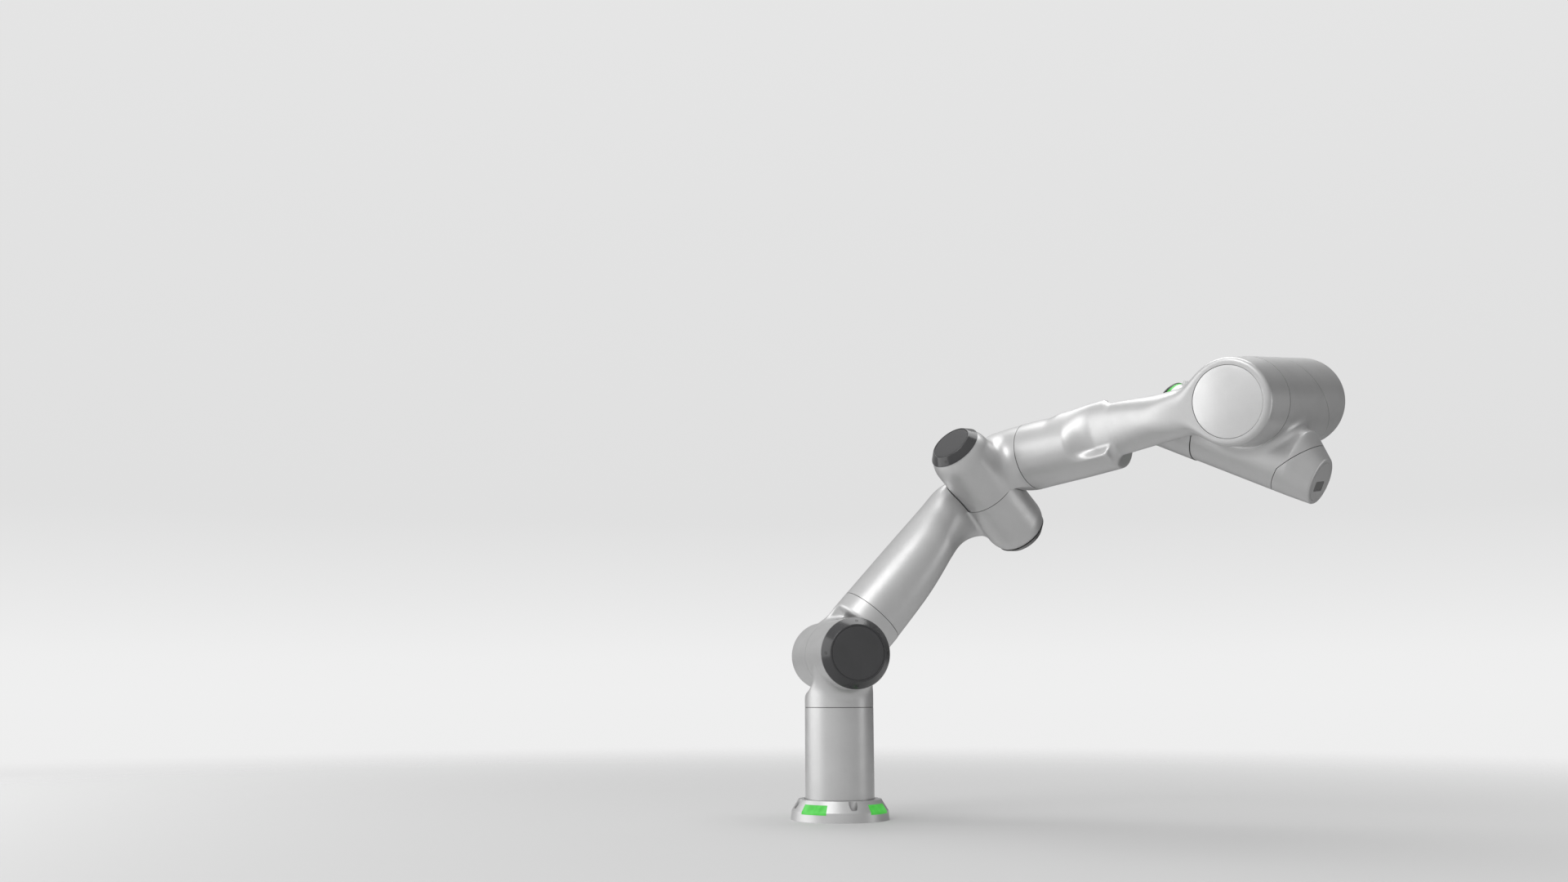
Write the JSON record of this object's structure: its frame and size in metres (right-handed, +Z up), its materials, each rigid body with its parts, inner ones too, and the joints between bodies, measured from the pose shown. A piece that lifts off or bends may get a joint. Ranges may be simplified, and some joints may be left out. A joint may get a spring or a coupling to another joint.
{
  "type": "collaborative robot arm",
  "caption": "Floor-standing collaborative robot arm of silver cast links with dark joint caps, a lit base ring and a small round tool flange.",
  "frame": {"origin": "centre of the base's bolt circle on the base's underside", "axes": "+Z up along the first joint's axis; -Y towards the side that the shoulder's dark front cap faces; the arm leans towards +X at rest"},
  "size_m": [0.9676, 0.5115, 0.8026],
  "materials": {
    "blasted_aluminium": "satin bead-blasted",
    "pale_cover": "satin",
    "dark_caps": "semi-gloss",
    "black_plate": "satin",
    "dark_window": "gloss",
    "status_light": "translucent diffuser",
    "screws": "black oxide",
    "steel": "ground",
    "drive_casing": "anodised",
    "seal_rubber": "matte"
  },
  "bodies": {
    "base": {"base_housing": "blasted_aluminium", "base_bottom_plate": "steel", "base_light_windows": "status_light", "base_connector_panel": "black_plate", "base_connectors": "black_plate", "joint1_bearing": "steel", "joint1_drive_unit": "drive_casing"},
    "link1_shoulder": {"link1_shoulder_housing": "blasted_aluminium", "shoulder_front_cap": "dark_caps", "shoulder_front_cap_screws": "screws", "joint1_output_hub": "steel", "joint1_seal": "seal_rubber", "joint2_bearing": "steel", "joint2_drive_unit": "drive_casing"},
    "link2_shoulder": {"link2_shoulder_housing": "blasted_aluminium", "shoulder_rear_cap": "dark_caps", "shoulder_rear_cap_screws": "screws", "joint2_output_hub": "steel", "joint2_seal": "seal_rubber", "joint3_output_hub": "steel", "joint3_seal": "seal_rubber"},
    "link3_upper_arm": {"link3_upper_arm_housing": "blasted_aluminium", "elbow_rear_cap": "dark_caps", "elbow_rear_cap_screws": "screws", "joint3_bearing": "steel", "joint3_drive_unit": "drive_casing", "joint4_output_hub": "steel", "joint4_seal": "seal_rubber"},
    "link4_elbow": {"link4_elbow_housing": "blasted_aluminium", "elbow_front_cap": "dark_caps", "elbow_front_cap_screws": "screws", "joint4_bearing": "steel", "joint4_drive_unit": "drive_casing", "joint5_output_hub": "steel", "joint5_seal": "seal_rubber"},
    "link5_forearm": {"link5_forearm_housing": "blasted_aluminium", "wrist_front_cover": "pale_cover", "joint5_bearing": "steel", "joint5_drive_unit": "drive_casing", "joint6_output_hub": "steel", "joint6_seal": "seal_rubber"},
    "link6_wrist": {"link6_wrist_housing": "blasted_aluminium", "wrist_rear_cover": "blasted_aluminium", "head_cover": "blasted_aluminium", "head_panel": "blasted_aluminium", "head_window": "dark_window", "joint6_bearing": "steel", "joint6_drive_unit": "drive_casing", "joint7_bearing": "steel", "joint7_drive_unit": "drive_casing"},
    "link7_tool_flange": {"tool_flange_body": "blasted_aluminium", "tool_light_ring": "status_light", "tool_flange_plate": "black_plate", "tool_connector": "blasted_aluminium", "tool_connector_socket": "black_plate", "joint7_output_hub": "steel", "joint7_seal": "seal_rubber"}
  },
  "joints": [
    {"name": "joint1_base_turn", "type": "hinge", "parent": "base", "child": "link1_shoulder", "pos_m": [0, 0, 0.1933], "axis": [0, 0, 1], "range_deg": [-179, 179]},
    {"name": "joint2_shoulder_swing", "type": "hinge", "parent": "link1_shoulder", "child": "link2_shoulder", "pos_m": [0, 0, 0.2856], "axis": [-0.23, 0.9732, 0], "range_deg": [-131.6, 48.4]},
    {"name": "joint3_upper_arm_roll", "type": "hinge", "parent": "link2_shoulder", "child": "link3_upper_arm", "pos_m": [0.06119, 0.01446, 0.35642], "axis": [0.6461, 0.1527, 0.7478], "range_deg": [-179, 179]},
    {"name": "joint4_elbow_bend", "type": "hinge", "parent": "link3_upper_arm", "child": "link4_elbow", "pos_m": [0.28239, 0.03771, 0.58847], "axis": [0.5961, 0.5108, -0.6194], "range_deg": [-63.1, 77]},
    {"name": "joint5_forearm_roll", "type": "hinge", "parent": "link4_elbow", "child": "link5_forearm", "pos_m": [0.36472, 0.01414, 0.64827], "axis": [0.7174, -0.6854, 0.1252], "range_deg": [-179, 179]},
    {"name": "joint6_wrist_bend", "type": "hinge", "parent": "link5_forearm", "child": "link6_wrist", "pos_m": [0.66737, -0.27301, 0.69134], "axis": [-0.6693, -0.7278, -0.1495], "range_deg": [-179, 179]},
    {"name": "joint7_flange_roll", "type": "hinge", "parent": "link6_wrist", "child": "link7_tool_flange", "pos_m": [0.63762, -0.15637, 0.66737], "axis": [-0.703, 0.5551, 0.4447], "range_deg": [-179, 179]}
  ]
}
